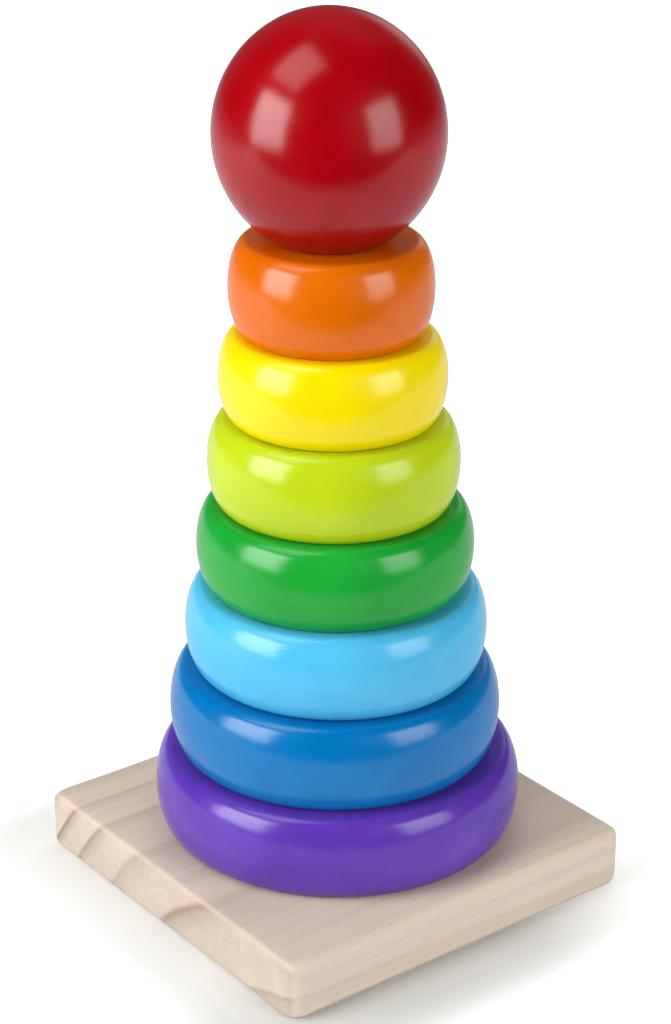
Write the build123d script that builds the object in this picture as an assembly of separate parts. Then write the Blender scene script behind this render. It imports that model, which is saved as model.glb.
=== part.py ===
from build123d import *
import math
import os

# Wooden stacking ring toy: a square pine base with an upright dowel, seven
# lacquered rings graded in size, and a ball that caps the dowel.
#
# Frame: +Z up, origin on the floor at the middle of the base. The sides of the
# base run along X and Y, and the grain of the board runs along X. Millimetres.

# ---- base board ---------------------------------------------------------------
BASE_SIDE = 113.4          # square, along X and Y
BASE_T = 16.6              # thickness
BASE_CORNER_R = 4.9        # the four upright corners, in plan
BASE_LONG_TOP_R = 3.3      # milled round-over along the grain, upper edge
BASE_LONG_BOTTOM_R = 3.2   # milled round-over along the grain, lower edge
BASE_END_TOP_R = 2.0       # sanded edge across the grain, upper
BASE_END_BOTTOM_R = 3.0    # sanded edge across the grain, lower

# ---- post: a dowel glued in a blind socket --------------------------------------
POST_R = 9.5               # 19 mm dowel
POST_TOP_Z = 198.0         # free end, inside the ball
POST_TOP_R = 3.0           # rounded end
SOCKET_R = 9.55            # glue line of 0.05 mm
SOCKET_FLOOR_Z = 6.4       # solid wood left under the socket

# ---- screw: countersunk wood screw from below -----------------------------------
SCREW_HEAD_Z = 0.9         # face of the head, above the underside
SCREW_HEAD_R = 4.1
SCREW_HEAD_RIM = 0.35
SCREW_CONE_H = 2.1
SCREW_R = 2.05             # outside of the thread
SCREW_TIP_Z = 33.0
SCREW_TIP_H = 4.0
CROSS_L, CROSS_W, CROSS_D = 4.6, 0.95, 1.3
SCREW_GAP = 0.08           # room round the screw in the wood
RECESS_R = 4.5             # shallow recess that keeps the head off the table

# ---- rings ------------------------------------------------------------------------
# The bores are 6 mm wider than the post, so a dropped ring settles a little to
# one side. Each row is the name, the outer radius, the thickness, and how far
# the ring lies off the post's axis along LEAN_DIR.
RING_BORE_R = 12.5
RING_BORE_EDGE_R = 1.2     # rounded mouth of the bore, both faces
RING_BULGE = 4.8           # radial depth of the rounded outer edge
LEAN_AZ = math.radians(-38.2)
LEAN_DIR = (math.cos(LEAN_AZ), math.sin(LEAN_AZ))
RINGS = [
    ("purple_ring", 49.5, 23.0, 1.2),
    ("blue_ring", 44.5, 24.0, 0.3),
    ("light_blue_ring", 40.3, 23.3, 0.4),
    ("green_ring", 36.7, 22.9, 0.0),
    ("lime_ring", 33.1, 23.7, -0.6),
    ("yellow_ring", 29.7, 22.9, -1.0),
    ("orange_ring", 26.4, 24.8, -1.6),
]

# ---- ball ---------------------------------------------------------------------------
BALL_R = 29.4              # across
BALL_RZ = 30.95            # up and down: a turned ball, slightly taller than wide
BALL_Z = 208.35            # centre
BALL_OFF = -2.45           # off the post's axis along LEAN_DIR
BALL_BORE_R = 13.6         # blind bore over the end of the post, with room to settle aside
BALL_BORE_FLOOR_Z = 200.4  # clears the end of the post
BALL_BORE_EDGE_R = 0.25
BALL_FACE_Z = 181.2        # faced flat round the bore, where it sits on the top ring


def rounded_section(plane, width, height, top_r, bottom_r, length):
    """A bar of a rectangular section, width by height, standing on the floor,
    with its upper and lower corners rounded, pushed length along the plane's normal."""
    with BuildPart() as bar:
        with BuildSketch(plane) as sk:
            with Locations((0, height / 2)):
                Rectangle(width, height)
            upper = sk.vertices().filter_by(lambda v: abs(v.Z - height) < 1e-6)
            fillet(upper, top_r)
            lower = sk.vertices().filter_by(lambda v: abs(v.Z) < 1e-6)
            fillet(lower, bottom_r)
        extrude(amount=length / 2, both=True)
    return bar.part


def base_board():
    """Board with its long edges milled round and its ends sanded, a blind socket
    for the post above, and a countersunk screw hole below."""
    along_x = rounded_section(Plane.YZ, BASE_SIDE, BASE_T, BASE_LONG_TOP_R, BASE_LONG_BOTTOM_R, BASE_SIDE)
    along_y = rounded_section(Plane.XZ, BASE_SIDE, BASE_T, BASE_END_TOP_R, BASE_END_BOTTOM_R, BASE_SIDE)
    plan = extrude(RectangleRounded(BASE_SIDE, BASE_SIDE, BASE_CORNER_R), BASE_T)
    wood = along_x & along_y & plan
    socket = Pos(0, 0, SOCKET_FLOOR_Z) * Cylinder(
        SOCKET_R, BASE_T, align=(Align.CENTER, Align.CENTER, Align.MIN)
    )
    g = SCREW_GAP
    z0 = SCREW_HEAD_Z + SCREW_HEAD_RIM
    # clearance for the shank, the cone and the head, turned as one tool
    profile = Polyline(
        (0, 0, -1),
        (RECESS_R, 0, -1),
        (RECESS_R, 0, z0),
        (SCREW_HEAD_R + g, 0, z0),
        (SCREW_R + g, 0, z0 + SCREW_CONE_H),
        (SCREW_R + g, 0, SOCKET_FLOOR_Z + 1),
        (0, 0, SOCKET_FLOOR_Z + 1),
        close=True,
    )
    tool = revolve(make_face(profile), Axis.Z, 360)
    return wood - socket - tool


def post():
    """Dowel with a rounded free end and a pilot hole for the screw."""
    r, z0, z1, e, g = POST_R, SOCKET_FLOOR_Z, POST_TOP_Z, POST_TOP_R, SCREW_GAP
    c = 0.6  # small chamfer that starts it into the socket
    outline = (
        Line((0, 0, z0), (r - c, 0, z0))
        + Line((r - c, 0, z0), (r, 0, z0 + c))
        + Line((r, 0, z0 + c), (r, 0, z1 - e))
        + ThreePointArc(
            (r, 0, z1 - e),
            (r - e + e * math.cos(math.pi / 4), 0, z1 - e + e * math.sin(math.pi / 4)),
            (r - e, 0, z1),
        )
        + Line((r - e, 0, z1), (0, 0, z1))
        + Line((0, 0, z1), (0, 0, z0))
    )
    dowel = revolve(make_face(outline), Axis.Z, 360)
    pilot = Polyline(
        (0, 0, z0 - 1),
        (SCREW_R + g, 0, z0 - 1),
        (SCREW_R + g, 0, SCREW_TIP_Z - SCREW_TIP_H + g),
        (0.25, 0, SCREW_TIP_Z + 2 * g),
        (0, 0, SCREW_TIP_Z + 2 * g),
        close=True,
    )
    return dowel - revolve(make_face(pilot), Axis.Z, 360)


def post_screw():
    """Countersunk wood screw with a cross recess. The shank is the outside of its thread."""
    z0 = SCREW_HEAD_Z
    z1 = z0 + SCREW_HEAD_RIM
    z2 = z1 + SCREW_CONE_H
    body = revolve(
        make_face(
            Polyline(
                (0, 0, z0),
                (SCREW_HEAD_R, 0, z0),
                (SCREW_HEAD_R, 0, z1),
                (SCREW_R, 0, z2),
                (SCREW_R, 0, SCREW_TIP_Z - SCREW_TIP_H),
                (0.2, 0, SCREW_TIP_Z),
                (0, 0, SCREW_TIP_Z),
                close=True,
            )
        ),
        Axis.Z,
        360,
    )
    deep = 2 * CROSS_D
    slots = Box(CROSS_L, CROSS_W, deep) + Box(CROSS_W, CROSS_L, deep)
    return body - Pos(0, 0, z0) * slots


def ring(outer_r, height, z, off):
    """Turned ring lying flat at height z: rounded outer edge, straight bore with
    rounded mouths."""
    a, b, e = RING_BULGE, RING_BORE_R, RING_BORE_EDGE_R
    k = e * (1 - math.sqrt(0.5))
    edge = EllipticalCenterArc((outer_r - a, height / 2), a, height / 2, -90, arc_size=180)
    outline = (
        edge
        + Line((outer_r - a, height), (b + e, height))
        + ThreePointArc((b + e, height), (b + k, height - k), (b, height - e))
        + Line((b, height - e), (b, e))
        + ThreePointArc((b, e), (b + k, k), (b + e, 0))
        + Line((b + e, 0), (outer_r - a, 0))
    )
    face = Plane.XZ * make_face(outline)
    body = revolve(face, Axis.Z, 360)
    return Pos(off * LEAN_DIR[0], off * LEAN_DIR[1], z) * body


def top_ball():
    """Turned ball with a blind flat-bottomed bore that drops over the end of the
    post, faced flat round the bore so that it sits on the top ring."""
    b = BALL_BORE_R
    floor = BALL_BORE_FLOOR_Z - BALL_Z
    face_z = BALL_FACE_Z - BALL_Z
    face_r = BALL_R * math.sqrt(1 - (face_z / BALL_RZ) ** 2)
    phi = math.degrees(math.asin(face_z / BALL_RZ))
    outline = (
        EllipticalCenterArc((0, 0), BALL_R, BALL_RZ, phi, arc_size=90 - phi)
        + Line((0, BALL_RZ), (0, floor))
        + Line((0, floor), (b, floor))
        + Line((b, floor), (b, face_z))
        + Line((b, face_z), (face_r, face_z))
    )
    face = make_face(outline)
    mouth = face.vertices().sort_by_distance((b, face_z, 0))[0]
    face = fillet(mouth, BALL_BORE_EDGE_R)
    body = revolve(Plane.XZ * face, Axis.Z, 360)
    return Pos(BALL_OFF * LEAN_DIR[0], BALL_OFF * LEAN_DIR[1], BALL_Z) * body


def build():
    nodes = {"base_board": base_board(), "post": post(), "post_screw": post_screw()}
    z = BASE_T
    for name, r, h, off in RINGS:
        nodes[name] = ring(r, h, z, off)
        z += h
    nodes["top_ball"] = top_ball()
    return nodes


os.makedirs("parts", exist_ok=True)
for name, shape in build().items():
    solids = shape.solids()
    assert len(solids) == 1, (name, len(solids))
    export_step(solids[0], f"parts/{name}.step")
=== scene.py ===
import math

import bpy
import bmesh
import numpy as np
from mathutils import Matrix, Vector, noise

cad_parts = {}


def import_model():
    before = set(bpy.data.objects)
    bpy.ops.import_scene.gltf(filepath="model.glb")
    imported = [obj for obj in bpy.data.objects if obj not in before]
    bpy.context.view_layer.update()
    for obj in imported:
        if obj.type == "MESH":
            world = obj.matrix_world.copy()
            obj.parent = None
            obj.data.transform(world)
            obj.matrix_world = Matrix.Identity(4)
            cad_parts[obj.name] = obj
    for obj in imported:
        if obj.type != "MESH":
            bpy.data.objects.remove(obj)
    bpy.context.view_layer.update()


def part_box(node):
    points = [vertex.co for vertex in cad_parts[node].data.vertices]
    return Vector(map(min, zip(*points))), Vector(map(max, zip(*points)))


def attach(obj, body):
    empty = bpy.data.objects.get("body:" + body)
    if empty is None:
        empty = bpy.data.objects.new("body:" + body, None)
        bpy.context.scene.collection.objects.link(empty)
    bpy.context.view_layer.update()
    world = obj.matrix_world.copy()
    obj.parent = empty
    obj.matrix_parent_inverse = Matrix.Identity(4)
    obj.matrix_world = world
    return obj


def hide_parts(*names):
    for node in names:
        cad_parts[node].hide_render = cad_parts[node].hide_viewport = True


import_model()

MM = 0.001
AZ = 0.666                      # the camera stands this far round from -Y towards -X
TOWARD = Vector((-math.sin(AZ), -math.cos(AZ), 0))   # from the toy to the camera, level
RIGHT = Vector((math.cos(AZ), -math.sin(AZ), 0))


def lin(r, g, b):
    """A screen colour, 0 to 255, as linear light."""
    out = []
    for c in (r, g, b):
        c /= 255
        out.append(c / 12.92 if c <= 0.04045 else ((c + 0.055) / 1.055) ** 2.4)
    return (*out, 1.0)


# ------------------------------------------------------------------ mesh code
def finish_mesh(name, verts, faces, body, node, material, smooth=True):
    me = bpy.data.meshes.new(name)
    me.from_pydata([tuple(v) for v in verts], [], faces)
    bm = bmesh.new()
    bm.from_mesh(me)
    bmesh.ops.remove_doubles(bm, verts=bm.verts, dist=1e-7)
    bmesh.ops.dissolve_degenerate(bm, edges=bm.edges, dist=1e-8)
    bmesh.ops.recalc_face_normals(bm, faces=bm.faces)
    if bm.calc_volume(signed=True) < 0:
        bmesh.ops.reverse_faces(bm, faces=bm.faces)
    open_edges = [e for e in bm.edges if len(e.link_faces) != 2]
    if open_edges:
        raise RuntimeError(f"{name} has {len(open_edges)} open edges")
    bm.to_mesh(me)
    bm.free()
    if smooth:
        me.shade_smooth()
    me.materials.append(material)
    ob = bpy.data.objects.new(name, me)
    bpy.context.scene.collection.objects.link(ob)
    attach(ob, body)
    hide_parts(node)
    return ob


def lathe(profile, segments, centre=(0, 0, 0), wobble=None):
    """Turns a section given as (radius, height) pairs about the vertical axis through
    centre. A section that starts and ends on the axis makes a ball-like body, any
    other is closed back on its start. wobble(angle, r, z) gives a change of radius."""
    verts, faces = [], []
    cx, cy, cz = centre
    rows = []
    for r, z in profile:
        if r < 1e-9:
            rows.append([len(verts)])
            verts.append((cx, cy, cz + z))
            continue
        row = []
        for k in range(segments):
            a = 2 * math.pi * k / segments
            rr = r + (wobble(a, r, z) if wobble else 0)
            row.append(len(verts))
            verts.append((cx + rr * math.cos(a), cy + rr * math.sin(a), cz + z))
        rows.append(row)
    closed = len(rows[0]) > 1
    pairs = list(zip(rows, rows[1:] + ([rows[0]] if closed else [])))
    if not closed:
        pairs = pairs[: len(rows) - 1]
    for a, b in pairs:
        n = max(len(a), len(b))
        for k in range(n):
            k2 = (k + 1) % n
            if len(a) == 1:
                faces.append((a[0], b[k], b[k2]))
            elif len(b) == 1:
                faces.append((a[k], b[0], a[k2]))
            else:
                faces.append((a[k], b[k], b[k2], a[k2]))
    return verts, faces


def arc(cx, cz, rx, rz, a0, a1, n):
    return [
        (cx + rx * math.cos(math.radians(a0 + (a1 - a0) * i / n)), cz + rz * math.sin(math.radians(a0 + (a1 - a0) * i / n)))
        for i in range(n + 1)
    ]


def line(p, q, n):
    """Points between p and q, the ends left out."""
    return [(p[0] + (q[0] - p[0]) * i / n, p[1] + (q[1] - p[1]) * i / n) for i in range(1, n)]


def tidy(points):
    out = []
    for p in points:
        if not out or math.hypot(p[0] - out[-1][0], p[1] - out[-1][1]) > 1e-7:
            out.append(p)
    if math.hypot(out[0][0] - out[-1][0], out[0][1] - out[-1][1]) < 1e-7:
        out.pop()
    return out


# ------------------------------------------------------------------ node helper
class Graph:
    """A short way to write a material as nodes."""

    def __init__(self, name):
        self.mat = bpy.data.materials.new(name)
        self.mat.use_nodes = True
        self.t = self.mat.node_tree
        self.t.nodes.clear()
        self.out = self.t.nodes.new("ShaderNodeOutputMaterial")
        self.coord = self.t.nodes.new("ShaderNodeTexCoord").outputs["Object"]

    def put(self, node, key, value):
        sock = node.inputs[key]
        if isinstance(value, bpy.types.NodeSocket):
            self.t.links.new(value, sock)
        elif value is not None:
            sock.default_value = value

    def math(self, op, a, b=None, c=None, clamp=False):
        n = self.t.nodes.new("ShaderNodeMath")
        n.operation = op
        n.use_clamp = clamp
        for i, v in enumerate((a, b, c)):
            if v is not None:
                self.put(n, i, v)
        return n.outputs[0]

    def vec(self, op, a, b=None, scale=None):
        n = self.t.nodes.new("ShaderNodeVectorMath")
        n.operation = op
        self.put(n, 0, a)
        if b is not None:
            self.put(n, 1, b)
        if scale is not None:
            self.put(n, "Scale", scale)
        return n.outputs["Value"] if op in ("LENGTH", "DOT_PRODUCT", "DISTANCE") else n.outputs[0]

    def split(self, v):
        n = self.t.nodes.new("ShaderNodeSeparateXYZ")
        self.put(n, 0, v)
        return n.outputs[0], n.outputs[1], n.outputs[2]

    def join(self, x=0.0, y=0.0, z=0.0):
        n = self.t.nodes.new("ShaderNodeCombineXYZ")
        for i, v in enumerate((x, y, z)):
            self.put(n, i, v)
        return n.outputs[0]

    def noise(self, v, scale, detail=2.0, rough=0.5, distortion=0.0, colour=False):
        n = self.t.nodes.new("ShaderNodeTexNoise")
        self.put(n, "Vector", v)
        self.put(n, "Scale", scale)
        self.put(n, "Detail", detail)
        self.put(n, "Roughness", rough)
        self.put(n, "Distortion", distortion)
        return n.outputs["Color" if colour else "Fac"]

    def ranged(self, v, a, b, c, d, smooth=False):
        n = self.t.nodes.new("ShaderNodeMapRange")
        n.clamp = True
        if smooth:
            n.interpolation_type = "SMOOTHSTEP"
        self.put(n, "Value", v)
        for k, x in zip(("From Min", "From Max", "To Min", "To Max"), (a, b, c, d)):
            self.put(n, k, x)
        return n.outputs["Result"]

    def mix(self, fac, a, b, mode="MIX"):
        n = self.t.nodes.new("ShaderNodeMix")
        n.data_type = "RGBA"
        n.blend_type = mode
        n.clamp_factor = True
        self.put(n, 0, fac)
        self.put(n, 6, a)
        self.put(n, 7, b)
        return n.outputs[2]

    def ramp(self, fac, stops):
        n = self.t.nodes.new("ShaderNodeValToRGB")
        e = n.color_ramp.elements
        while len(e) > 1:
            e.remove(e[-1])
        e[0].position, e[0].color = stops[0][0], stops[0][1]
        for pos, col in stops[1:]:
            x = e.new(pos)
            x.color = col
        self.put(n, 0, fac)
        return n.outputs["Color"]

    def bump(self, height, distance, normal=None, strength=1.0):
        n = self.t.nodes.new("ShaderNodeBump")
        self.put(n, "Strength", strength)
        self.put(n, "Distance", distance)
        self.put(n, "Height", height)
        if normal is not None:
            self.put(n, "Normal", normal)
        return n.outputs[0]

    def surface(self, **kw):
        n = self.t.nodes.new("ShaderNodeBsdfPrincipled")
        for k, v in kw.items():
            self.put(n, k.replace("_", " "), v)
        self.t.links.new(n.outputs[0], self.out.inputs[0])
        return self.mat


# ------------------------------------------------------------------ lacquer on turned wood
GLOSS = 0.19


def lacquer(name, colour, deep, centre, z0, z1, bore, turned_ball=False):
    """Opaque gloss paint, sprayed on turned wood. colour and deep are the paint where it
    lies thick and where it is pulled thin; z0 and z1 are the flat faces that rub."""
    g = Graph(name)
    p = g.vec("SUBTRACT", g.coord, (centre[0], centre[1], 0.0))
    x, y, z = g.split(p)
    r = g.vec("LENGTH", g.join(x, y, 0.0))
    seed = g.vec("ADD", p, (centre[2] * 3.1, z0 * 7.7, z1 * 5.3))

    cloud = g.noise(seed, 42.0, 3.0, 0.55)
    fibre = g.noise(g.vec("MULTIPLY", seed, (26.0, 520.0, 520.0)), 1.0, 3.0, 0.6)
    tone = g.ranged(g.math("ADD", g.math("MULTIPLY", cloud, 0.8), g.math("MULTIPLY", fibre, 0.2)), 0.33, 0.67, 0.0, 1.0)
    paint = g.mix(tone, deep, colour)

    # the paint is rubbed thin only at the mouths of the bore, where the post touches it
    mouth = g.ranged(g.math("ABSOLUTE", g.math("SUBTRACT", r, bore + 0.0008)), 0.0014, 0.0, 0.0, 1.0, True)
    if turned_ball:
        mouth = g.math("MULTIPLY", mouth, g.ranged(z, z0 + 0.004, z0 + 0.002, 0.0, 1.0, True))
    patches = g.ranged(g.noise(seed, 210.0, 4.0, 0.62), 0.48, 0.66, 0.0, 1.0)
    wear = g.math("MULTIPLY", mouth, patches, clamp=True)
    chalk = tuple(min(1.0, 0.72 * c + 0.16) for c in colour[:3]) + (1.0,)
    paint = g.mix(g.math("MULTIPLY", wear, 0.45), paint, chalk)

    # hairline scuffs: thin streaks of dulled gloss, the paint under them unhurt
    scuff = g.ranged(g.noise(g.vec("MULTIPLY", seed, (900.0, 160.0, 420.0)), 1.0, 2.0, 0.7, 1.2), 0.66, 0.74, 0.0, 1.0)
    gloss = g.ranged(g.noise(seed, 130.0, 3.0, 0.6), 0.3, 0.7, GLOSS - 0.025, GLOSS + 0.025)
    rough = g.math("ADD", gloss, g.math("ADD", g.math("MULTIPLY", wear, 0.28), g.math("MULTIPLY", scuff, 0.05)), clamp=True)

    # the surface: slow hand-sanding waves, the lathe's fine lines, and orange peel
    waves = g.bump(g.noise(seed, 58.0, 1.0, 0.4), 0.00005)
    band = g.t.nodes.new("ShaderNodeTexWave")
    band.wave_type, band.bands_direction, band.wave_profile = "BANDS", "Z", "SIN"
    g.put(band, "Vector", p)
    g.put(band, "Scale", 240.0)
    g.put(band, "Distortion", 1.6)
    g.put(band, "Detail", 2.0)
    g.put(band, "Detail Scale", 1.4)
    lines = g.bump(band.outputs["Fac"], 0.0000012, waves)
    peel = g.bump(g.noise(seed, 820.0, 1.5, 0.5), 0.0000045, lines)
    grain = g.bump(fibre, 0.000004, peel)
    return g.surface(
        Base_Color=paint,
        Roughness=rough,
        Normal=grain,
        IOR=1.45,
    )


# ------------------------------------------------------------------ pine board
def pine(name, side, thick):
    """Fast-grown pine, sawn with its heart below the board and just outside the -Y side,
    so the growth rings cross the ends at a slant and run straight along X on top."""
    g = Graph(name)
    x, y, z = g.split(g.coord)
    # slow wander of the rings along the grain, finer wander across it
    slow = g.noise(g.vec("MULTIPLY", g.coord, (7.0, 22.0, 22.0)), 1.0, 2.0, 0.5)
    fine = g.noise(g.vec("MULTIPLY", g.coord, (30.0, 160.0, 160.0)), 1.0, 3.0, 0.6)
    py = g.math("ADD", y, g.math("ADD", 0.0637, g.math("MULTIPLY", x, -0.022)))
    pz = g.math("ADD", z, 0.0655)
    radius = g.vec("LENGTH", g.join(0.0, py, pz))
    radius = g.math("ADD", radius, g.math("MULTIPLY", g.math("SUBTRACT", slow, 0.5), 0.006))
    radius = g.math("ADD", radius, g.math("MULTIPLY", g.math("SUBTRACT", fine, 0.5), 0.0011))

    lo, hi = 0.040, 0.170

    def at(mm):
        return (mm * MM - lo) / (hi - lo)

    stops = [(0.0, 0.1)]
    # each year: pale early wood darkens to a late-wood line, then the next year starts pale
    for mm, rise, peak, fall in (
        (56, 5.0, 0.55, 0.8), (72, 6.0, 0.50, 1.0), (94, 6.5, 0.80, 1.5), (112, 6.5, 0.52, 1.6),
        (126, 4.2, 0.85, 0.9), (136, 3.4, 1.0, 0.8), (145, 3.2, 0.8, 0.8), (153, 3.0, 0.8, 0.8), (160, 2.6, 0.7, 0.8),
    ):
        stops += [(at(mm - rise), 0.10), (at(mm - rise * 0.25), 0.10 + 0.45 * peak), (at(mm), peak), (at(mm + fall), 0.03)]
    stops = [(min(max(p, 0.0), 1.0), (v, v, v, 1.0)) for p, v in stops][:32]
    late = g.ramp(g.ranged(radius, lo, hi, 0.0, 1.0), stops)

    fibre = g.noise(g.vec("MULTIPLY", g.coord, (9.0, 620.0, 620.0)), 1.0, 5.0, 0.62)
    streak = g.noise(g.vec("MULTIPLY", g.coord, (5.0, 95.0, 95.0)), 1.0, 3.0, 0.55)
    fleck = g.ranged(g.noise(g.vec("MULTIPLY", g.coord, (150.0, 2300.0, 2300.0)), 1.0, 1.0, 0.5), 0.66, 0.76, 0.0, 1.0)
    blotch = g.noise(g.vec("MULTIPLY", g.coord, (14.0, 30.0, 30.0)), 1.0, 3.0, 0.55)

    early = lin(212, 198, 178)
    pale = lin(223, 207, 184)
    dark = lin(150, 126, 99)
    wood = g.mix(g.ranged(streak, 0.32, 0.68, 0.0, 1.0), early, pale)
    geo = g.t.nodes.new("ShaderNodeNewGeometry")
    nx, ny, nz = g.split(geo.outputs["Normal"])
    end = g.ranged(g.math("ABSOLUTE", nx), 0.55, 0.9, 0.0, 1.0, True)
    depth = g.math("MULTIPLY", late, g.ranged(end, 0.0, 1.0, 0.42, 0.95))
    wood = g.mix(depth, wood, g.mix(end, dark, lin(138, 108, 80)))
    warm = g.ranged(blotch, 0.35, 0.7, 0.0, 0.35)
    wood = g.mix(warm, wood, lin(214, 190, 170))
    shade = g.ranged(fibre, 0.3, 0.7, 0.93, 1.04)
    wood = g.mix(1.0, wood, g.join(shade, shade, shade), "MULTIPLY")
    wood = g.mix(g.math("MULTIPLY", fleck, 0.22), wood, dark)

    # end grain drinks more of the finish: duller, a shade warmer, with open pores
    pores = g.ranged(g.noise(g.vec("MULTIPLY", g.coord, (400.0, 1500.0, 1500.0)), 1.0, 2.0, 0.6), 0.5, 0.7, 0.0, 1.0)
    wood = g.mix(g.math("MULTIPLY", g.math("MULTIPLY", end, pores), 0.16), wood, dark)
    duller = g.ranged(end, 0.0, 1.0, 1.0, 0.88)
    wood = g.mix(1.0, wood, g.join(duller, duller, duller), "MULTIPLY")

    rough = g.ranged(streak, 0.3, 0.7, 0.44, 0.54)
    rough = g.math("ADD", rough, g.math("SUBTRACT", g.math("MULTIPLY", end, 0.1), g.math("MULTIPLY", late, 0.06)), clamp=True)

    b = g.bump(late, 0.00003)
    b = g.bump(fibre, 0.00002, b)
    b = g.bump(g.noise(g.coord, 75.0, 2.0, 0.5), 0.00006, b)
    b = g.bump(g.math("MULTIPLY", g.math("MULTIPLY", end, pores), -1.0), 0.00003, b)
    return g.surface(Base_Color=wood, Roughness=rough, Normal=b, IOR=1.5, Specular_IOR_Level=0.42)


def dowel_wood(name):
    """Birch dowel: close pale grain along the post, a few tan fibres, sanded and sealed."""
    g = Graph(name)
    x, y, z = g.split(g.coord)
    warp = g.noise(g.vec("MULTIPLY", g.coord, (60.0, 60.0, 9.0)), 1.0, 2.0, 0.5)
    rad = g.math("ADD", g.vec("LENGTH", g.join(g.math("ADD", x, 0.031), g.math("ADD", y, 0.012), 0.0)), g.math("MULTIPLY", warp, 0.006))
    year = g.t.nodes.new("ShaderNodeTexWave")
    year.wave_type, year.bands_direction, year.wave_profile = "BANDS", "X", "SAW"
    g.put(year, "Vector", g.join(rad, 0.0, 0.0))
    g.put(year, "Scale", 105.0)
    g.put(year, "Distortion", 0.0)
    fibre = g.noise(g.vec("MULTIPLY", g.coord, (900.0, 900.0, 14.0)), 1.0, 4.0, 0.6)
    fleck = g.ranged(g.noise(g.vec("MULTIPLY", g.coord, (2400.0, 2400.0, 180.0)), 1.0, 1.0, 0.5), 0.64, 0.74, 0.0, 1.0)
    wood = g.mix(g.ranged(fibre, 0.3, 0.7, 0.0, 1.0), lin(205, 182, 146), lin(226, 206, 172))
    wood = g.mix(g.math("MULTIPLY", year.outputs["Fac"], 0.32), wood, lin(180, 148, 108))
    wood = g.mix(g.math("MULTIPLY", fleck, 0.3), wood, lin(140, 104, 70))
    # the free end is handled most: a little darker and smoother
    used = g.ranged(z, 0.165, 0.197, 0.0, 1.0, True)
    wood = g.mix(g.math("MULTIPLY", used, 0.22), wood, lin(176, 146, 108))
    rough = g.math("SUBTRACT", g.ranged(fibre, 0.3, 0.7, 0.40, 0.52), g.math("MULTIPLY", used, 0.08))
    b = g.bump(fibre, 0.00002)
    b = g.bump(g.noise(g.coord, 110.0, 2.0, 0.5), 0.00004, b)
    return g.surface(Base_Color=wood, Roughness=rough, Normal=b, IOR=1.5, Specular_IOR_Level=0.45)


def zinc(name):
    g = Graph(name)
    scratch = g.noise(g.vec("MULTIPLY", g.coord, (700.0, 4200.0, 900.0)), 1.0, 3.0, 0.7)
    cloud = g.noise(g.coord, 420.0, 3.0, 0.6)
    col = g.mix(g.ranged(cloud, 0.35, 0.65, 0.0, 1.0), lin(186, 188, 192), lin(206, 203, 190))
    rough = g.ranged(scratch, 0.3, 0.7, 0.22, 0.42)
    b = g.bump(scratch, 0.000006)
    return g.surface(Base_Color=col, Roughness=rough, Normal=b, Metallic=1.0)


# ------------------------------------------------------------------ rings and ball
PAINTS = {
    "purple_ring": ((96, 58, 172), (84, 46, 160)),
    "blue_ring": ((0, 118, 184), (0, 106, 172)),
    "light_blue_ring": ((84, 188, 228), (70, 176, 220)),
    "green_ring": ((28, 164, 54), (18, 150, 46)),
    "lime_ring": ((192, 212, 28), (180, 202, 20)),
    "yellow_ring": ((246, 224, 2), (240, 212, 0)),
    "orange_ring": ((222, 110, 2), (212, 98, 0)),
    "top_ball": ((166, 2, 14), (150, 0, 10)),
}


def ring(node, seed):
    low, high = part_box(node)
    cx, cy = (low.x + high.x) / 2, (low.y + high.y) / 2
    R = min(high.x - low.x, high.y - low.y) / 2
    h = high.z - low.z
    a, b, e = 4.8 * MM, 12.5 * MM, 1.2 * MM
    out = arc(R - a, h / 2, a, h / 2, -90, 90, 40)
    out += line((R - a, h), (b + e, h), max(3, int((R - a - b - e) / 0.0022)))
    out += [(b + e + e * math.cos(math.radians(t)), h - e + e * math.sin(math.radians(t))) for t in np.linspace(90, 180, 10)]
    out += line((b, h - e), (b, e), 8)
    out += [(b + e + e * math.cos(math.radians(t)), e + e * math.sin(math.radians(t))) for t in np.linspace(180, 270, 10)]
    out += line((b + e, 0), (R - a, 0), max(3, int((R - a - b - e) / 0.0022)))
    out = tidy(out)

    def wobble(ang, r, z):
        # never outwards: what the lathe and the sander took off unevenly
        if r < b + e * 0.5:
            return 0.0
        n = noise.noise(Vector((math.cos(ang) * 1.3 + seed, math.sin(ang) * 1.3, z * 60 + seed * 2)))
        return -0.00005 * (1 + n)

    verts, faces = lathe(out, 192, (cx, cy, low.z), wobble)
    c, d = (lin(*k) for k in PAINTS[node])
    mat = lacquer(node + "_paint", c, d, (cx, cy, 0.01 * seed), low.z, high.z, b)
    return finish_mesh("turned_" + node, verts, faces, node, node, mat)


for i, n in enumerate(("purple_ring", "blue_ring", "light_blue_ring", "green_ring", "lime_ring", "yellow_ring", "orange_ring")):
    ring(n, i + 1.0)


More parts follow.
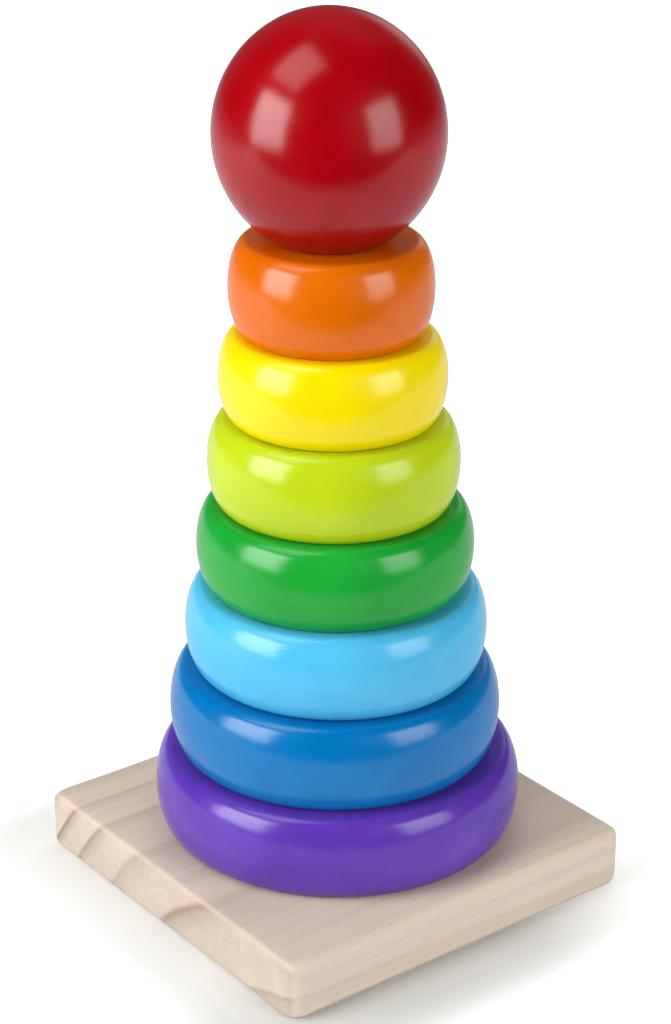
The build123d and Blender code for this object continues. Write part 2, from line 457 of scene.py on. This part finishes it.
def ball():
    low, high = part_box("top_ball")
    cx, cy = (low.x + high.x) / 2, (low.y + high.y) / 2
    R = min(high.x - low.x, high.y - low.y) / 2
    RZ = 30.95 * MM
    cz = high.z - RZ
    b, e, floor, face = 13.6 * MM, 0.25 * MM, 200.4 * MM - cz, low.z - cz
    t0 = math.degrees(math.asin(face / RZ))
    # the corner of the seat is eased, which leaves a thin shadow over the top ring
    out = [(0.0, RZ)] + arc(0, 0, R, RZ, 89, t0 + 0.7, 88)
    out += arc(b + e, face + e, e, e, 270, 180, 5)
    out += line((b, face + e), (b, floor), 8)
    out += [(b, floor), (b * 0.66, floor), (b * 0.33, floor), (0.0, floor)]

    def wobble(ang, r, z):
        if r <= b + 2 * e or z < face + 1e-6:
            return 0.0
        n = noise.noise(Vector((math.cos(ang) * 1.2, math.sin(ang) * 1.2, z * 45 + 9.0)))
        return -0.00005 * (1 + n)

    verts, faces = lathe(out, 192, (cx, cy, cz), wobble)
    c, d = (lin(*k) for k in PAINTS["top_ball"])
    mat = lacquer("top_ball_paint", c, d, (cx, cy, 0.11), low.z, high.z, b, turned_ball=True)
    ob = finish_mesh("turned_top_ball", verts, faces, "top_ball", "top_ball", mat)
    sharpen(ob, 32)
    return ob


def sharpen(ob, degrees):
    """Marks the edges sharper than the angle, so drilled holes keep crisp rims."""
    bm = bmesh.new()
    bm.from_mesh(ob.data)
    for e in bm.edges:
        if len(e.link_faces) == 2 and e.calc_face_angle(0.0) > math.radians(degrees):
            e.smooth = False
    bm.to_mesh(ob.data)
    bm.free()


ball()


# ------------------------------------------------------------------ base board
def board():
    low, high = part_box("base_board")
    half, t = (high.x - low.x) / 2, high.z - low.z
    corner = 4.9 * MM
    N = 384
    # outline of the plan, evenly spaced, with its outward normals
    straight, quarter = 2 * (half - corner), corner * math.pi / 2
    total = 4 * (straight + quarter)
    loop = []
    for k in range(N):
        s = total * (k + 0.5) / N
        side, u = divmod(s, straight + quarter)
        if u < straight:
            p, n = Vector((half, -half + corner + u)), Vector((1, 0))
        else:
            a = (u - straight) / corner
            n = Vector((math.cos(a), math.sin(a)))
            p = Vector((half - corner, half - corner)) + n * corner
        turn = Matrix.Rotation(side * math.pi / 2, 2)
        loop.append((turn @ p, turn @ n))

    def radius(n, p, long_r, end_r, seed):
        w = min(1.0, max(0.0, (n.y * n.y - 0.1) / 0.8))
        r = end_r + (long_r - end_r) * w * w * (3 - 2 * w)
        return r * (1 + 0.10 * noise.noise(Vector((p.x * 45, p.y * 45, seed))))

    rows = []

    def add(fn):
        rows.append([Vector(fn(p, n)) for p, n in loop])

    def ring_at(r, z):
        add(lambda p, n: (r * p.x / p.length, r * p.y / p.length, z))

    # socket and screw hole, from the bottom of the socket round to the underside
    sock, shank, head, recess = 9.55 * MM, 2.13 * MM, 4.18 * MM, 4.5 * MM
    floor, cone_top, cone_low = 6.4 * MM, 3.35 * MM, 1.25 * MM
    top_z, c = t, 0.35 * MM
    steps = 12
    # top face, outwards
    for i in range(steps + 1):
        f = (i / steps) ** 1.3

        def fn(p, n, f=f):
            r = radius(n, p, 3.3 * MM, 2.0 * MM, 1.0)
            q = p - n * r
            d = p.normalized() * (sock + c)
            m = d.lerp(q, f)
            sink = 0.00005 * (1 + noise.noise(Vector((m.x * 26, m.y * 26, 3.0)))) * min(1.0, f * 3)
            return (m.x, m.y, top_z - sink)

        add(fn)
    for i in range(1, 11):
        a = math.pi / 2 * (1 - i / 10)

        def fn(p, n, a=a):
            r = radius(n, p, 3.3 * MM, 2.0 * MM, 1.0)
            dent = 0.00006 * (1 + noise.noise(Vector((p.x * 30, p.y * 30, 8.0))))
            sink = 0.00005 * (1 + noise.noise(Vector(((p - n * r).x * 26, (p - n * r).y * 26, 3.0))))
            q = p - n * (r * (1 - math.cos(a)) + dent * math.cos(a))
            return (q.x, q.y, top_z - r + r * math.sin(a) - sink * math.sin(a))

        add(fn)
    for i in range(1, 5):

        def fn(p, n, f=i / 5):
            r1, r2 = radius(n, p, 3.3 * MM, 2.0 * MM, 1.0), radius(n, p, 3.2 * MM, 3.0 * MM, 5.0)
            dent = 0.00006 * (1 + noise.noise(Vector((p.x * 30, p.y * 30, 8.0))))
            q = p - n * dent
            return (q.x, q.y, (t - r1) * (1 - f) + r2 * f)

        add(fn)
    for i in range(0, 11):
        a = math.pi / 2 * i / 10

        def fn(p, n, a=a):
            r = radius(n, p, 3.2 * MM, 3.0 * MM, 5.0)
            dent = 0.00006 * (1 + noise.noise(Vector((p.x * 30, p.y * 30, 8.0))))
            q = p - n * (r * (1 - math.cos(a)) + dent * math.cos(a))
            return (q.x, q.y, r - r * math.sin(a))

        add(fn)
    for i in range(1, 9):
        f = (1 - i / 8) ** 1.3

        def fn(p, n, f=f):
            q = p - n * radius(n, p, 3.2 * MM, 3.0 * MM, 5.0)
            d = p.normalized() * (recess + c)
            m = d.lerp(q, f)
            return (m.x, m.y, 0.0)

        add(fn)
    ring_at(recess, c)
    ring_at(recess, cone_low)
    ring_at(head, cone_low)
    ring_at(shank, cone_top)
    ring_at(shank, floor)
    ring_at((shank + sock) / 2, floor)
    ring_at(sock, floor)
    ring_at(sock, (floor + t) / 2)
    ring_at(sock, t - c)
    verts = [v for row in rows for v in row]
    faces = []
    L = len(rows)
    for i in range(L):
        j = (i + 1) % L
        for k in range(N):
            k2 = (k + 1) % N
            faces.append((i * N + k, i * N + k2, j * N + k2, j * N + k))
    ob = finish_mesh("pine_base_board", verts, faces, "stand", "base_board", pine("pine", 2 * half, t), smooth=True)
    sharpen(ob, 32)
    return ob


board()


# ------------------------------------------------------------------ post
def dowel():
    low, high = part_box("post")
    r, z0, z1, e, c = 9.5 * MM, low.z, high.z, 3.0 * MM, 0.6 * MM
    pilot = 2.13 * MM
    out = [(0.0, z1), (2.0 * MM, z1), (4.2 * MM, z1), (r - e, z1)]
    out += arc(r - e, z1 - e, e, e, 84, 0, 12)
    out += line((r, z1 - e), (r, z0 + c), 26)
    out += [(r, z0 + c), (r - c, z0), ((r + pilot) / 2, z0), (pilot, z0), (pilot, 15 * MM), (pilot, 29.08 * MM), (0.25 * MM, 33.16 * MM), (0.0, 33.16 * MM)]

    def wobble(ang, rr, z):
        if rr < r * 0.9:
            return 0.0
        n = noise.noise(Vector((math.cos(ang), math.sin(ang), z * 22)))
        return -0.00003 * (1 + n)

    verts, faces = lathe(out, 96, (0, 0, 0), wobble)
    ob = finish_mesh("birch_dowel", verts, faces, "stand", "post", dowel_wood("birch"))
    sharpen(ob, 32)
    return ob


dowel()


# ------------------------------------------------------------------ screw
def screw():
    low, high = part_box("post_screw")
    z0 = low.z
    head, rim, cone, core, out_r = 4.1 * MM, 0.35 * MM, 2.1 * MM, 1.45 * MM, 2.03 * MM
    tip = high.z
    pitch, N = 1.6 * MM, 48
    rows = []
    # head from the middle of its face to the start of the thread
    plain = [(0.0, z0), (1.6 * MM, z0), (head - 0.15 * MM, z0), (head, z0 + 0.15 * MM), (head, z0 + rim), (1.75 * MM, z0 + rim + cone), (1.75 * MM, z0 + rim + cone + 2.4 * MM)]
    zs = np.arange(plain[-1][1] + 0.1 * MM, tip - 0.05 * MM, 0.1 * MM)
    verts, faces = [], []
    for r, z in plain:
        rows.append((np.full(N, r), z))
    for z in zs:
        k = np.arange(N) / N
        phase = (z / pitch - k) % 1.0
        ridge = np.clip(1 - np.abs(phase - 0.5) / 0.22, 0, 1)
        start = min(1.0, (z - zs[0]) / (1.6 * MM))
        end = min(1.0, max(0.0, (tip - z) / (4.2 * MM)))
        r = core * (0.12 + 0.88 * end) + (out_r - core) * ridge * start * (0.25 + 0.75 * end) * min(1.0, end * 3)
        rows.append((np.minimum(r, out_r * (0.1 + 0.9 * end)), z))
    ids = []
    for r, z in rows:
        if r[0] < 1e-9 and r.max() < 1e-9:
            ids.append([len(verts)])
            verts.append((0, 0, z))
        else:
            ids.append(list(range(len(verts), len(verts) + N)))
            for j in range(N):
                a = 2 * math.pi * j / N
                verts.append((r[j] * math.cos(a), r[j] * math.sin(a), z))
    ids.append([len(verts)])
    verts.append((0, 0, tip))
    for a, b in zip(ids, ids[1:]):
        for j in range(N):
            j2 = (j + 1) % N
            if len(a) == 1:
                faces.append((a[0], b[j], b[j2]))
            elif len(b) == 1:
                faces.append((a[j], b[0], a[j2]))
            else:
                faces.append((a[j], b[j], b[j2], a[j2]))
    ob = finish_mesh("countersunk_screw", verts, faces, "stand", "post_screw", zinc("zinc"))
    # cross recess: two tapered blades cut from the face
    me = bpy.data.meshes.new("cross_tool")
    bm = bmesh.new()
    for turn in (0, 90):
        pts = []
        for z, l, w in ((-0.4, 2.45, 0.52), (1.35, 1.0, 0.36)):
            for sx, sy in ((-1, -1), (1, -1), (1, 1), (-1, 1)):
                v = Vector((sx * l * MM, sy * w * MM, z0 + z * MM))
                v.rotate(Matrix.Rotation(math.radians(turn + 20), 3, "Z"))
                pts.append(bm.verts.new(v))
        for f in ((3, 2, 1, 0), (4, 5, 6, 7), (0, 1, 5, 4), (1, 2, 6, 5), (2, 3, 7, 6), (3, 0, 4, 7)):
            bm.faces.new([pts[q] for q in f])
    bmesh.ops.recalc_face_normals(bm, faces=bm.faces)
    bm.to_mesh(me)
    bm.free()
    tool = bpy.data.objects.new("cross_tool", me)
    bpy.context.scene.collection.objects.link(tool)
    m = ob.modifiers.new("cross", "BOOLEAN")
    m.operation, m.object, m.solver = "DIFFERENCE", tool, "EXACT"
    m.use_self = True
    bpy.context.view_layer.update()
    cut = bpy.data.meshes.new_from_object(ob.evaluated_get(bpy.context.evaluated_depsgraph_get()))
    ob.modifiers.clear()
    ob.data = cut
    bpy.data.objects.remove(tool)
    sharpen(ob, 32)
    return ob


screw()


# ------------------------------------------------------------------ floor
def floor():
    me = bpy.data.meshes.new("floor")
    # four strips round an opening that the board covers, so that light reaches the underside
    bm = bmesh.new()
    corners = ((-1, -1), (1, -1), (1, 1), (-1, 1))
    inner = [bm.verts.new((0.050 * x, 0.050 * y, -0.0002)) for x, y in corners]
    outer = [bm.verts.new((9.0 * x, 9.0 * y, -0.0002)) for x, y in corners]
    for k in range(4):
        n = (k + 1) % 4
        bm.faces.new((outer[k], outer[n], inner[n], inner[k]))
    bm.to_mesh(me)
    bm.free()
    ob = bpy.data.objects.new("floor", me)
    bpy.context.scene.collection.objects.link(ob)
    g = Graph("pale_floor")
    near = g.vec("LENGTH", g.coord)
    tint = g.noise(g.coord, 30.0, 2.0, 0.5)

    # as seen: white paper with an even glow of its own. Painted shadow: the glow is held back in a soft patch round the
    # board, fully along the -Y edge, fading to half towards +X and to about three quarters on the other sides, so the
    # paper's darker shade shows only there
    half = 0.0567
    past = g.vec("SUBTRACT", g.vec("ABSOLUTE", g.coord), (half, half, 1.0))
    gap = g.vec("LENGTH", g.vec("MAXIMUM", past, (0.0, 0.0, 0.0)))
    fx, fy, fz = g.split(g.coord)
    # painted shadow: how far the glow is held back, by distance from the board and by side
    painted_shadow = g.ranged(gap, 0.010, 0.044, 1.0, 0.0, True)
    painted_shadow = g.math("MULTIPLY", painted_shadow, g.ranged(fy, -0.066, -0.02, 1.0, 0.74, True))
    painted_shadow = g.math("MULTIPLY", painted_shadow, g.ranged(fx, 0.01, 0.07, 1.0, 0.5, True))
    seen = g.t.nodes.new("ShaderNodeBsdfPrincipled")
    g.put(seen, "Base Color", g.mix(tint, lin(208, 207, 203), lin(211, 210, 207)))
    g.put(seen, "Roughness", 0.9)
    g.put(seen, "Specular IOR Level", 0.0)
    g.put(seen, "Emission Color", (1, 1, 1, 1))
    g.put(seen, "Emission Strength", g.math("SUBTRACT", 1.0, painted_shadow))

    # as it lights the toy: the same paper without the even glow. Painted shade: its colour falls from 0.76 almost to
    # black towards the camera's side
    paper = g.t.nodes.new("ShaderNodeBsdfDiffuse")
    front = g.vec("DOT_PRODUCT", g.coord, tuple(TOWARD))
    lit = g.ranged(front, 0.19, 0.36, 0.76, 0.02, True)
    g.put(paper, "Color", g.join(lit, lit, g.math("MULTIPLY", lit, 1.06)))
    # painted light: further out the paper glows, rising from 0.2 m to 0.8 m, but not on the camera's side
    far = g.t.nodes.new("ShaderNodeEmission")
    g.put(far, "Strength", g.math("MULTIPLY", g.ranged(near, 0.2, 0.8, 0.0, 0.22, True), lit))
    unseen = g.t.nodes.new("ShaderNodeAddShader")
    g.t.links.new(paper.outputs[0], unseen.inputs[0])
    g.t.links.new(far.outputs[0], unseen.inputs[1])

    path = g.t.nodes.new("ShaderNodeLightPath")
    top = g.t.nodes.new("ShaderNodeMixShader")
    g.t.links.new(path.outputs["Is Camera Ray"], top.inputs[0])
    g.t.links.new(unseen.outputs[0], top.inputs[1])
    g.t.links.new(seen.outputs[0], top.inputs[2])

    # seen from below the floor is clear, so the underside of the toy shows
    geo = g.t.nodes.new("ShaderNodeNewGeometry")
    clear = g.t.nodes.new("ShaderNodeBsdfTransparent")
    mixed = g.t.nodes.new("ShaderNodeMixShader")
    g.t.links.new(geo.outputs["Backfacing"], mixed.inputs[0])
    g.t.links.new(top.outputs[0], mixed.inputs[1])
    g.t.links.new(clear.outputs[0], mixed.inputs[2])
    g.t.links.new(mixed.outputs[0], g.out.inputs[0])
    me.materials.append(g.mat)


floor()


# ------------------------------------------------------------------ light
LEVEL = 1.19


def softbox(name, azimuth, elevation, distance, width, height, radiance, edge=0.16, low=1.0, aim=(0, 0, 0.2)):
    """A rectangular soft light. azimuth is measured round the toy from the camera's side,
    positive to the right; width and height are angles in degrees as the toy sees them,
    radiance is what its face would read in the picture, and it fades over the outer
    edge of the cloth and down to low at its bottom."""
    a, e = math.radians(azimuth), math.radians(elevation)
    aim = Vector(aim)
    d = (TOWARD * math.cos(a) + RIGHT * math.sin(a)) * math.cos(e) + Vector((0, 0, math.sin(e)))
    data = bpy.data.lights.new(name, "AREA")
    data.shape = "RECTANGLE"
    data.size = 2 * distance * math.tan(math.radians(width / 2))
    data.size_y = 2 * distance * math.tan(math.radians(height / 2))
    data.energy = LEVEL * radiance * math.pi * data.size * data.size_y
    data.use_nodes = True
    t = data.node_tree
    emit = next(n for n in t.nodes if n.type == "EMISSION")
    geo = t.nodes.new("ShaderNodeNewGeometry")
    split = t.nodes.new("ShaderNodeSeparateXYZ")
    t.links.new(geo.outputs["Parametric"], split.inputs[0])
    strength = None
    for axis in (0, 1):
        mid = t.nodes.new("ShaderNodeMath")
        mid.operation = "SUBTRACT"
        t.links.new(split.outputs[axis], mid.inputs[0])
        mid.inputs[1].default_value = 0.5
        far = t.nodes.new("ShaderNodeMath")
        far.operation = "ABSOLUTE"
        t.links.new(mid.outputs[0], far.inputs[0])
        fade = t.nodes.new("ShaderNodeMapRange")
        fade.interpolation_type = "SMOOTHSTEP"
        for k, v in zip(("From Min", "From Max", "To Min", "To Max"), (0.5 - edge, 0.5, 1.0, 0.0)):
            fade.inputs[k].default_value = v
        t.links.new(far.outputs[0], fade.inputs["Value"])
        if strength is None:
            strength = fade.outputs["Result"]
        else:
            both = t.nodes.new("ShaderNodeMath")
            both.operation = "MULTIPLY"
            t.links.new(strength, both.inputs[0])
            t.links.new(fade.outputs["Result"], both.inputs[1])
            strength = both.outputs[0]
    slope = t.nodes.new("ShaderNodeMapRange")
    for k, v in zip(("From Min", "From Max", "To Min", "To Max"), (0.0, 1.0, low, 1.0)):
        slope.inputs[k].default_value = v
    t.links.new(split.outputs[1], slope.inputs["Value"])
    whole = t.nodes.new("ShaderNodeMath")
    whole.operation = "MULTIPLY"
    t.links.new(strength, whole.inputs[0])
    t.links.new(slope.outputs["Result"], whole.inputs[1])
    t.links.new(whole.outputs[0], emit.inputs["Strength"])
    ob = bpy.data.objects.new(name, data)
    bpy.context.scene.collection.objects.link(ob)
    ob.location = aim + d * distance
    ob.rotation_mode = "QUATERNION"
    ob.rotation_quaternion = d.to_track_quat("Z", "Y")
    ob.visible_camera = False
    return ob


softbox("soft_left", -61.5, 13.5, 1.1, 42, 45, 8.6, 0.17, 0.65)
softbox("soft_right", 56.5, 12.5, 1.1, 37, 42, 4.9, 0.17, 0.6)
softbox("soft_top", -65, 61, 1.1, 40, 43, 2.55, 0.2)
softbox("back_right", 160, 12, 1.3, 34, 34, 0.5, 0.4)
# two broad fills, from the camera's side and from above behind, that the lacquer does not mirror
for fill in (
    softbox("front_fill", 42, 18, 1.3, 62, 50, 1.5, 0.3),
    softbox("top_fill", 168, 55, 1.2, 60, 50, 2.15, 0.3),
):
    fill.visible_glossy = False


def world():
    w = bpy.data.worlds.new("studio")
    bpy.context.scene.world = w
    w.use_nodes = True
    t = w.node_tree
    t.nodes.clear()
    out = t.nodes.new("ShaderNodeOutputWorld")
    coord = t.nodes.new("ShaderNodeTexCoord")
    dot = t.nodes.new("ShaderNodeVectorMath")
    dot.operation = "DOT_PRODUCT"
    dot.inputs[1].default_value = (-TOWARD.x, -TOWARD.y, 0.0)
    t.links.new(coord.outputs["Generated"], dot.inputs[0])
    m = t.nodes.new("ShaderNodeMapRange")
    m.interpolation_type = "SMOOTHSTEP"
    for k, v in zip(("From Min", "From Max", "To Min", "To Max"), (0.35, 0.95, 0.015, 0.13)):
        m.inputs[k].default_value = v
    t.links.new(dot.outputs["Value"], m.inputs["Value"])
    # light from under the floor, which only the underside of the board can meet
    split = t.nodes.new("ShaderNodeSeparateXYZ")
    t.links.new(coord.outputs["Generated"], split.inputs[0])
    under = t.nodes.new("ShaderNodeMapRange")
    for k, v in zip(("From Min", "From Max", "To Min", "To Max"), (-0.05, -0.3, 0.0, 0.75)):
        under.inputs[k].default_value = v
    t.links.new(split.outputs[2], under.inputs["Value"])
    total = t.nodes.new("ShaderNodeMath")
    total.operation = "ADD"
    t.links.new(m.outputs["Result"], total.inputs[0])
    t.links.new(under.outputs["Result"], total.inputs[1])
    lit = t.nodes.new("ShaderNodeBackground")
    t.links.new(total.outputs[0], lit.inputs["Strength"])
    seen = t.nodes.new("ShaderNodeBackground")
    seen.inputs["Color"].default_value = (1.0, 1.0, 1.0, 1.0)
    seen.inputs["Strength"].default_value = 1.0
    path = t.nodes.new("ShaderNodeLightPath")
    mix = t.nodes.new("ShaderNodeMixShader")
    t.links.new(path.outputs["Is Camera Ray"], mix.inputs[0])
    t.links.new(lit.outputs[0], mix.inputs[1])
    t.links.new(seen.outputs[0], mix.inputs[2])
    t.links.new(mix.outputs[0], out.inputs[0])


world()


# ------------------------------------------------------------------ camera
def camera():
    d, z, pitch, roll, f = 0.6307, 0.3818, 0.412, 0.010, 2625.7
    data = bpy.data.cameras.new("camera")
    data.sensor_width = 36.0
    data.sensor_fit = "AUTO"
    data.lens = f / 1024 * 36.0
    data.clip_start, data.clip_end = 0.02, 60
    ob = bpy.data.objects.new("camera", data)
    bpy.context.scene.collection.objects.link(ob)
    fwd = -TOWARD * math.cos(pitch) + Vector((0, 0, -math.sin(pitch)))
    up = RIGHT.cross(fwd)
    r2 = RIGHT * math.cos(roll) + up * math.sin(roll)
    u2 = -RIGHT * math.sin(roll) + up * math.cos(roll)
    ob.matrix_world = Matrix((
        (r2.x, u2.x, -fwd.x, TOWARD.x * d),
        (r2.y, u2.y, -fwd.y, TOWARD.y * d),
        (r2.z, u2.z, -fwd.z, z),
        (0, 0, 0, 1),
    ))
    bpy.context.scene.camera = ob


camera()
view = bpy.context.scene.view_settings
view.view_transform = "Standard"
view.look = "None"
view.exposure = 0.0
view.gamma = 1.0
